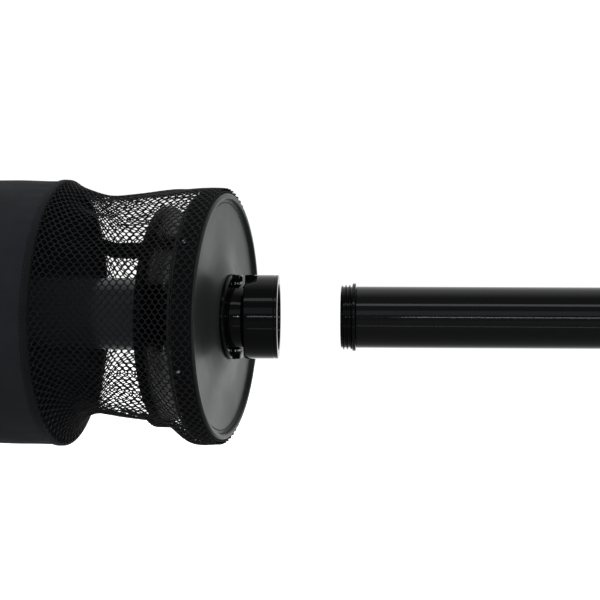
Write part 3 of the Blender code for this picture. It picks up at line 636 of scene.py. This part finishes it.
def makeNet():
    pitch, row, shoulder = net["pitch"] * mm, net["row"] * mm, net["shoulder"] * mm
    # one mesh eye, a flat ring with its corners taken off
    bm = bmesh.new()
    bmesh.ops.create_circle(bm, cap_ends=True, segments=6, radius=1.0)
    for v in bm.verts:
        isSide = abs(v.co.x) > 0.1
        v.co.x *= pitch / 2 / math.cos(math.radians(30.0))
        v.co.y = math.copysign(shoulder if isSide else row - shoulder, v.co.y)
    bmesh.ops.inset_individual(bm, faces=bm.faces, thickness=net["strand"] * mm, use_even_offset=True)
    hole = [f for f in bm.faces if all(len(e.link_faces) == 2 for e in f.edges)][0]
    bmesh.ops.bevel(bm, geom=list(hole.verts), offset=net["corner"] * mm, segments=1, profile=0.5,
                    affect="VERTICES", material=-1)
    hole = max(bm.faces, key=lambda f: len(f.verts))
    bmesh.ops.delete(bm, geom=[hole], context="FACES_ONLY")
    # a row of eyes along X, then rows side by side, each half an eye on
    tile = list(bm.verts) + list(bm.edges) + list(bm.faces)
    for index in range(1, net["tiles"] + 2):
        made = bmesh.ops.duplicate(bm, geom=tile)["geom"]
        bmesh.ops.translate(bm, vec=(-pitch * index, 0.0, 0.0), verts=onlyVerts(made))
    bmesh.ops.remove_doubles(bm, verts=bm.verts, dist=1e-5)
    line = list(bm.verts) + list(bm.edges) + list(bm.faces)
    for index in range(1, net["pairs"] * 2):
        made = bmesh.ops.duplicate(bm, geom=line)["geom"]
        vec = (pitch / 2 * (index % 2), row * index, 0.0)
        bmesh.ops.translate(bm, vec=vec, verts=onlyVerts(made))
    length = net["tiles"] * pitch
    for plane, side in ((0.0, 1.0), (-length, -1.0)):
        geom = list(bm.verts) + list(bm.edges) + list(bm.faces)
        bmesh.ops.bisect_plane(bm, geom=geom, dist=1e-6, plane_co=(plane, 0.0, 0.0),
                               plane_no=(side, 0.0, 0.0), clear_outer=True)
    # even steps along the slope of the net, from the hem to the rim
    axis = np.linspace(net["front"], net["rim"], 600)
    meridian = netRadius(axis, np.zeros_like(axis))
    travelled = np.concatenate([[0.0], np.cumsum(np.hypot(np.diff(axis), np.diff(meridian)))])
    points = np.array([v.co for v in bm.verts])
    share = -points[:, 0] / length * travelled[-1]
    x = np.interp(share, travelled, axis)
    angle = math.tau * points[:, 1] / (row * net["pairs"] * 2)
    radius = netRadius(x, angle)
    for v, vx, va, vr in zip(bm.verts, x, angle, radius):
        v.co = (vx * mm, -math.cos(va) * vr * mm, math.sin(va) * vr * mm)
    bmesh.ops.remove_doubles(bm, verts=bm.verts, dist=3e-5)
    bmesh.ops.recalc_face_normals(bm, faces=bm.faces)
    whole = finishPiece("mesh_section", bm, "cord", "straight", 180.0)
    rounding = whole.vertex_groups.new(name="strandMiddle")
    check = bmesh.new()
    check.from_mesh(whole.data)
    inner = [v.index for v in check.verts if not v.is_boundary]
    check.free()
    rounding.add(range(len(whole.data.vertices)), net["edgeShare"], "REPLACE")
    rounding.add(inner, 1.0, "REPLACE")
    thick = whole.modifiers.new("Strand", "SOLIDIFY")
    thick.thickness = net["thickness"] * mm
    thick.offset = 0.0
    thick.vertex_group = "strandMiddle"
    bpy.context.view_layer.update()
    thickened = whole.evaluated_get(bpy.context.evaluated_depsgraph_get())
    solid = bpy.data.meshes.new_from_object(thickened)
    bpy.data.objects.remove(whole, do_unlink=True)
    halves = []
    for name, side in (("mesh_near_half", -1.0), ("mesh_far_half", 1.0)):
        bm = bmesh.new()
        bm.from_mesh(solid)
        gone = [f for f in bm.faces if f.calc_center_median().y * side < 0.0]
        bmesh.ops.delete(bm, geom=gone, context="FACES")
        half = finishPiece(name, bm, "cord", None, 180.0)
        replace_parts(half, "net")
        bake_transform(half)
        halves.append(half)
        print(name, len(half.data.polygons))
    bpy.data.meshes.remove(solid)
    return halves


netHalves = makeNet()
print("mesh ready")

# webbing strap inside the mesh
strap = {"width": 15.0, "thickness": 1.5, "angle": 33.0, "bend": 5.0, "segments": 3, "rows": 6,
         "line": ((-50.0, 91.0), (-64.0, 91.2), (-78.0, 90.8), (-95.0, 88.4), (-113.0, 85.0), (-128.0, 82.0),
                  (-142.0, 81.4), (-153.0, 81.4), (-162.0, 84.0), (-170.0, 92.0), (-180.0, 99.6))}


def makeStrap():
    bm = bmesh.new()
    makeBand(bm, strap)
    turn = Matrix.Rotation(math.radians(strap["angle"] - 90.0), 3, "X")
    bmesh.ops.rotate(bm, cent=(0.0, 0.0, 0.0), matrix=turn, verts=bm.verts)
    piece = finishPiece("inner_strap", bm, "webbing", None)
    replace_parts(piece, "rear_strap")
    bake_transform(piece)
    return piece


innerStrap = makeStrap()

# fabric cylinder
wall = {"front": -172.7, "back": -446.3, "radius": 104.4, "thickness": 1.2, "rings": 72, "around": 224,
        # slack in the cloth: height, count round, phase, twist along X
        "waves": ((0.75, 3.0, 1.2, 0.011), (0.5, 7.0, 0.0, -0.021), (0.32, 16.0, 0.0, 0.05),
                  (0.28, 2.0, 0.0, 0.13)),
        "swell": 0.3, "puckers": 46.0, "puckerHeight": 0.35, "puckerFade": 22.0}


def wallOffset(x, angle):
    run = (x - wall["front"]) / (wall["back"] - wall["front"])
    hold = math.sin(math.pi * min(max(run, 0.0), 1.0)) ** 0.6
    slack = wall["swell"]
    for height, count, phase, twist in wall["waves"]:
        slack += height * math.sin(count * angle + phase + twist * x)
    fade = math.exp(-min(run, 1.0 - run) * wall["puckerFade"])
    return hold * slack + wall["puckerHeight"] * math.sin(wall["puckers"] * angle) * fade


def makeWall():
    bm = bmesh.new()
    count = wall["rings"]
    step = (wall["back"] - wall["front"]) / count
    spinLine(bm, [(wall["front"] + step * i, wall["radius"] - 0.3) for i in range(count + 1)],
             closed=False, steps=wall["around"])
    for v in bm.verts:
        radius = math.hypot(v.co.y, v.co.z)
        angle = math.atan2(v.co.z, -v.co.y)
        scale = (radius + wallOffset(v.co.x / mm, angle) * mm) / radius
        v.co.y *= scale
        v.co.z *= scale
    bmesh.ops.recalc_face_normals(bm, faces=bm.faces)
    if sum(f.normal.dot(f.calc_center_median()) for f in bm.faces) < 0:
        bmesh.ops.reverse_faces(bm, faces=bm.faces)
    bmesh.ops.solidify(bm, geom=list(bm.faces), thickness=wall["thickness"] * mm)
    piece = finishPiece("cloth_wall", bm, "fabric", "bag", 60.0)
    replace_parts(piece, "fabric_wall")
    return piece


clothWall = makeWall()

# bindings with their stitching
binding = {"leaf": 0.9, "web": 1.6, "width": 5.6, "outer": 105.15, "inner": 101.2,
           "stitches": 216, "stitchLength": 2.1, "stitchRadius": 0.22, "stitchPlace": 0.74}


def makeBinding(name, closedX, direction, body, node, stitchName):
    outer, inner, leaf = binding["outer"], binding["inner"], binding["leaf"]
    free = closedX + binding["width"] * direction
    web = closedX + binding["web"] * direction
    piece = turnedPiece(name, [
        (closedX, inner, 0.8), (closedX, outer, 0.9), ((closedX + free) / 2, outer + 0.1), (free, outer, 0.5),
        (free, outer - leaf, 0.2), (web, outer - leaf), (web, inner + leaf), (free, inner + leaf, 0.2),
        (free, inner, 0.4)], "webbing", body, steps=192)
    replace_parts(piece, node)
    bm = bmesh.new()
    bmesh.ops.create_uvsphere(bm, u_segments=6, v_segments=4, radius=binding["stitchRadius"] * mm)
    bmesh.ops.scale(bm, vec=(1.0, binding["stitchLength"] / 2 / binding["stitchRadius"], 1.0), verts=bm.verts)
    seam = closedX + (free - closedX) * binding["stitchPlace"]
    bmesh.ops.translate(bm, vec=(seam * mm, 0.0, (outer + 0.04) * mm), verts=bm.verts)
    repeatRound(bm, binding["stitches"])
    finishPiece(stitchName, bm, "thread", body)


makeBinding("rim_tape", -170.5, -1.0, "bag", "rim_binding", "rim_stitches")
makeBinding("base_tape", -448.4, 1.0, "bag", "base_binding", "base_stitches")


hoop = {"radius": 100.0, "wire": 1.5}


# spring wire in its sewn sleeve
def makeHoop(name, x, node):
    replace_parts(turnedPiece(name, circleLine(x, hoop["radius"], hoop["wire"]), "webbing", "bag"), node)


makeHoop("rim_wire", -179.6, "rim_hoop")
makeHoop("base_wire", -439.3, "base_hoop")
print("fabric cylinder ready")

# zip round the base
zipRows = {"teeth": 232, "tooth": (1.9, 1.1, 1.9), "front": -451.25, "back": -451.85,
           "step": 1.4, "radius": 103.4}
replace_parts(turnedPiece("zip_tape_front", [
    (-448.7, 101.6, 0.5), (-448.7, 104.6, 0.5), (-450.4, 104.6, 0.3), (-450.4, 101.6, 0.3),
], "webbing", "bag", steps=192), "zip_tape")
zipBm = bmesh.new()
roundedBox(zipBm, zipRows["tooth"], (zipRows["front"], 0.0, zipRows["radius"]), 0.3, 1)
roundedBox(zipBm, zipRows["tooth"], (zipRows["back"], zipRows["step"], zipRows["radius"]), 0.3, 1)
repeatRound(zipBm, zipRows["teeth"])
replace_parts(finishPiece("zip_teeth_row", zipBm, "nylon", "bag"), "zip_teeth")
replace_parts(turnedPiece("zip_tape_lid", [
    (-452.7, 101.6, 0.3), (-452.7, 104.6, 0.3), (-454.4, 104.6, 0.5), (-454.4, 101.6, 0.5),
], "webbing", "lid", steps=192), "lid_tape")
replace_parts(turnedPiece("lid_board", [
    (-452.7, 0.0), (-452.7, 60.0), (-452.7, 98.0, 0.6), (-454.4, 98.0, 0.6), (-454.4, 60.0), (-454.4, 0.0),
], "satin", "lid", closed=False, steps=96), "lid_stiffener")

# lid panel, a soft disc with piping at its edge
lid = {"front": -454.9, "thickness": 1.4, "radius": 103.4, "rings": 30, "puff": 1.1, "puckers": 40.0,
       "puckerHeight": 0.22, "piping": (-456.2, 103.0, 1.3), "stitches": 190, "stitchRadius": 0.24,
       "seam": (-457.35, 99.2)}


def makeLid():
    bm = bmesh.new()
    count = lid["rings"]
    radii = [lid["radius"] * i / count for i in range(count + 1)]
    spinLine(bm, [(lid["front"] - 0.4, r) for r in radii], closed=False, steps=160)
    for v in bm.verts:
        radius = math.hypot(v.co.y, v.co.z) / mm
        angle = math.atan2(v.co.z, -v.co.y)
        run = radius / lid["radius"]
        puff = lid["puff"] * math.sin(3.0 * angle + 0.4) * run * (1.0 - run)
        pucker = lid["puckerHeight"] * math.sin(lid["puckers"] * angle) * math.exp((run - 1.0) * 18.0)
        v.co.x -= (puff + pucker + 0.6) * mm
    bmesh.ops.recalc_face_normals(bm, faces=bm.faces)
    if sum(f.normal.x for f in bm.faces) < 0:
        bmesh.ops.reverse_faces(bm, faces=bm.faces)
    bmesh.ops.solidify(bm, geom=list(bm.faces), thickness=-lid["thickness"] * mm)
    piece = finishPiece("lid_cloth", bm, "flatFabric", "lid", 60.0)
    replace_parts(piece, "lid_panel")
    turnedPiece("lid_piping", circleLine(*lid["piping"]), "webbing", "lid", steps=192)
    bm = bmesh.new()
    bmesh.ops.create_uvsphere(bm, u_segments=6, v_segments=4, radius=lid["stitchRadius"] * mm)
    bmesh.ops.scale(bm, vec=(1.0, 5.0, 1.0), verts=bm.verts)
    bmesh.ops.translate(bm, vec=(lid["seam"][0] * mm, 0.0, lid["seam"][1] * mm), verts=bm.verts)
    repeatRound(bm, lid["stitches"])
    finishPiece("lid_stitches", bm, "thread", "lid")
    return piece


lidCloth = makeLid()

handleArch = ((-458.0, 60.0), (-458.4, 43.0), (-465.0, 39.5), (-477.0, 32.0), (-483.0, 18.0), (-485.2, 0.0))
handle = {"width": 25.0, "thickness": 1.5, "bend": 9.0, "segments": 5, "rows": 8,
          "line": handleArch + tuple((x, -z) for x, z in handleArch[-2::-1]),
          "stitchX": -458.9, "stitchBevel": 0.15}


def makeHandle():
    bm = bmesh.new()
    makeBand(bm, handle)
    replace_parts(finishPiece("lid_strap", bm, "flatWebbing", "lid", 50.0), "lid_handle")
    # a box of stitches at each sewn end
    bm = bmesh.new()
    x, bevel = handle["stitchX"], handle["stitchBevel"]
    for side in (-1.0, 1.0):
        for along in np.linspace(45.0, 58.0, 7):
            for across in (-10.8, 10.8):
                roundedBox(bm, (0.4, 0.4, 1.7), (x, across, along * side), bevel, 1)
        for across in np.linspace(-9.4, 9.4, 9):
            for along in (44.0, 59.0):
                roundedBox(bm, (0.4, 1.7, 0.4), (x, across, along * side), bevel, 1)
    finishPiece("strap_stitches", bm, "thread", "lid")


makeHandle()

# zip slider and pull
slider = {"x": -451.55, "angle": 30.0, "seat": 105.1, "pullRadius": 109.1,
          # bars of the pull: size, offset along X, place round the lid, bevel
          "bars": (((1.2, 14.0, 1.0), -2.0, 13.0, 0.3), ((1.2, 14.0, 1.0), 2.0, 13.0, 0.3),
                   ((5.2, 13.4, 1.0), 0.0, 13.3, 0.35), ((5.2, 1.4, 1.0), 0.0, 0.1, 0.35),
                   ((1.2, 7.0, 1.0), -2.0, 3.4, 0.3), ((1.2, 7.0, 1.0), 2.0, 3.4, 0.3))}


def placeSlider(bm):
    turn = Matrix.Rotation(math.radians(slider["angle"]), 3, "X")
    bmesh.ops.rotate(bm, cent=(0.0, 0.0, 0.0), matrix=turn, verts=bm.verts)


def makeSlider():
    bm = bmesh.new()
    middle, seat = slider["x"], slider["seat"]
    roundedBox(bm, (5.6, 8.0, 2.4), (middle, 0.0, seat + 1.4), 0.7, 3)
    # narrower at the closing end
    for v in bm.verts:
        if v.co.y > 2.0 * mm:
            v.co.x = middle * mm + (v.co.x - middle * mm) * 0.72
    for side in (-1, 1):
        roundedBox(bm, (1.6, 1.2, 3.4), (middle, side * 2.9, seat + 3.9), 0.3, 2)
    roundedBox(bm, (1.6, 7.0, 1.1), (middle, 0.0, seat + 5.7), 0.35, 2)
    placeSlider(bm)
    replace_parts(finishPiece("slider_body", bm, "steel", "zip"), "zip_slider")
    bm = bmesh.new()
    for size, offset, along, bevel in slider["bars"]:
        roundedBox(bm, size, (middle + offset, along, slider["pullRadius"]), bevel, 2)
    for v in bm.verts:
        v.co.y = -v.co.y
    bmesh.ops.reverse_faces(bm, faces=bm.faces)
    placeSlider(bm)
    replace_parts(finishPiece("slider_pull", bm, "steel", "pull"), "zip_pull")


makeSlider()
print("zip and lid ready")


# floor with painted shade, darker grey on the camera side, and a painted glow, white emission, behind the
# object
floorLook = {"colour": (0.82, 0.82, 0.83), "near": (0.44, 0.44, 0.44), "roughness": 0.6, "size": 3.0,
             "level": -0.36, "glow": 0.95}


def makeFloor():
    bm = bmesh.new()
    bmesh.ops.create_grid(bm, x_segments=1, y_segments=1, size=floorLook["size"])
    bmesh.ops.translate(bm, vec=(0.0, 0.0, floorLook["level"]), verts=bm.verts)
    material, tree, shader, place = startMaterial("paleFloor", floorLook)
    depth = addNode(tree, "ShaderNodeSeparateXYZ", {"Vector": place}).outputs["Y"]
    # painted glow: emission that rises towards the back of the floor, standing in for light
    glow = remap(tree, depth, 0.15, 0.75, 0.0, floorLook["glow"])
    tree.links.new(glow, shader.inputs["Emission Strength"])
    # painted shade: the base colour runs from the darker near grey on the camera side to pale grey at the
    # back
    shade = remap(tree, depth, -0.3, 0.75, 0.0, 1.0)
    colour = mixColours(tree, shade, floorLook["near"], floorLook["colour"])
    tree.links.new(colour, shader.inputs["Base Color"])
    shader.inputs["Emission Color"].default_value = (1.0, 1.0, 1.0, 1.0)
    data = bpy.data.meshes.new("floor")
    bm.to_mesh(data)
    bm.free()
    data.materials.append(material)
    floor = bpy.data.objects.new("floor", data)
    scene.collection.objects.link(floor)


makeFloor()


# dim in front of the object, white behind it
def makeWorld():
    world = bpy.data.worlds.new("studio")
    scene.world = world
    world.use_nodes = True
    tree = world.node_tree
    direction = tree.nodes.new("ShaderNodeTexCoord").outputs["Generated"]
    split = addNode(tree, "ShaderNodeSeparateXYZ", {"Vector": direction}).outputs
    strength = remap(tree, split["Y"], -0.1, 0.35, 0.28, 1.05)
    tree.links.new(strength, tree.nodes["Background"].inputs["Strength"])
    tree.nodes["Background"].inputs["Color"].default_value = (1.0, 1.0, 1.0, 1.0)


makeWorld()
scene.view_settings.view_transform = "Standard"


def areaLight(name, place, target, size, power, colour=(1.0, 1.0, 1.0)):
    data = bpy.data.lights.new(name, "AREA")
    data.shape = "RECTANGLE"
    data.size, data.size_y = size
    data.energy = power
    data.color = colour
    light = bpy.data.objects.new(name, data)
    light.location = place
    light.rotation_euler = (Vector(target) - Vector(place)).to_track_quat("-Z", "Y").to_euler()
    scene.collection.objects.link(light)


def onArc(azimuth, elevation, distance):
    a, e = math.radians(azimuth), math.radians(elevation)
    level = distance * math.cos(e)
    return (level * math.sin(a), -level * math.cos(a), distance * math.sin(e))


areaLight("softbox", onArc(0.0, 53.0, 1.6), (0.0, 0.0, 0.0), (1.5, 0.22), 3.2, (0.84, 0.93, 1.0))
areaLight("fill", onArc(0.0, 22.0, 3.2), (0.0, 0.0, 0.0), (2.2, 0.9), 4.0, (0.86, 0.94, 1.0))
areaLight("lowStrip", (0.35, -0.50, -0.29), (0.25, 0.0, 0.0), (0.9, 0.012), 0.10)
areaLight("eyeStrip", (0.15, -2.9, 0.30), (0.15, 0.0, 0.0), (0.9, 0.05), 3.0, (0.88, 0.94, 1.0))
areaLight("eyeGlint", (0.62, -2.9, 0.30), (0.2, 0.0, 0.0), (0.3, 0.07), 3.6)

camera = bpy.data.objects.new("camera", bpy.data.cameras.new("camera"))
scene.collection.objects.link(camera)
aim = Vector((0.0165, 0.0, 0.0133))
camera.location = aim + Vector(onArc(2.6, 5.0, 2.6))
camera.rotation_euler = (aim - camera.location).to_track_quat("-Z", "Y").to_euler()
camera.data.lens = 200.0
camera.data.sensor_width = 36.0
scene.camera = camera
print("stage ready")
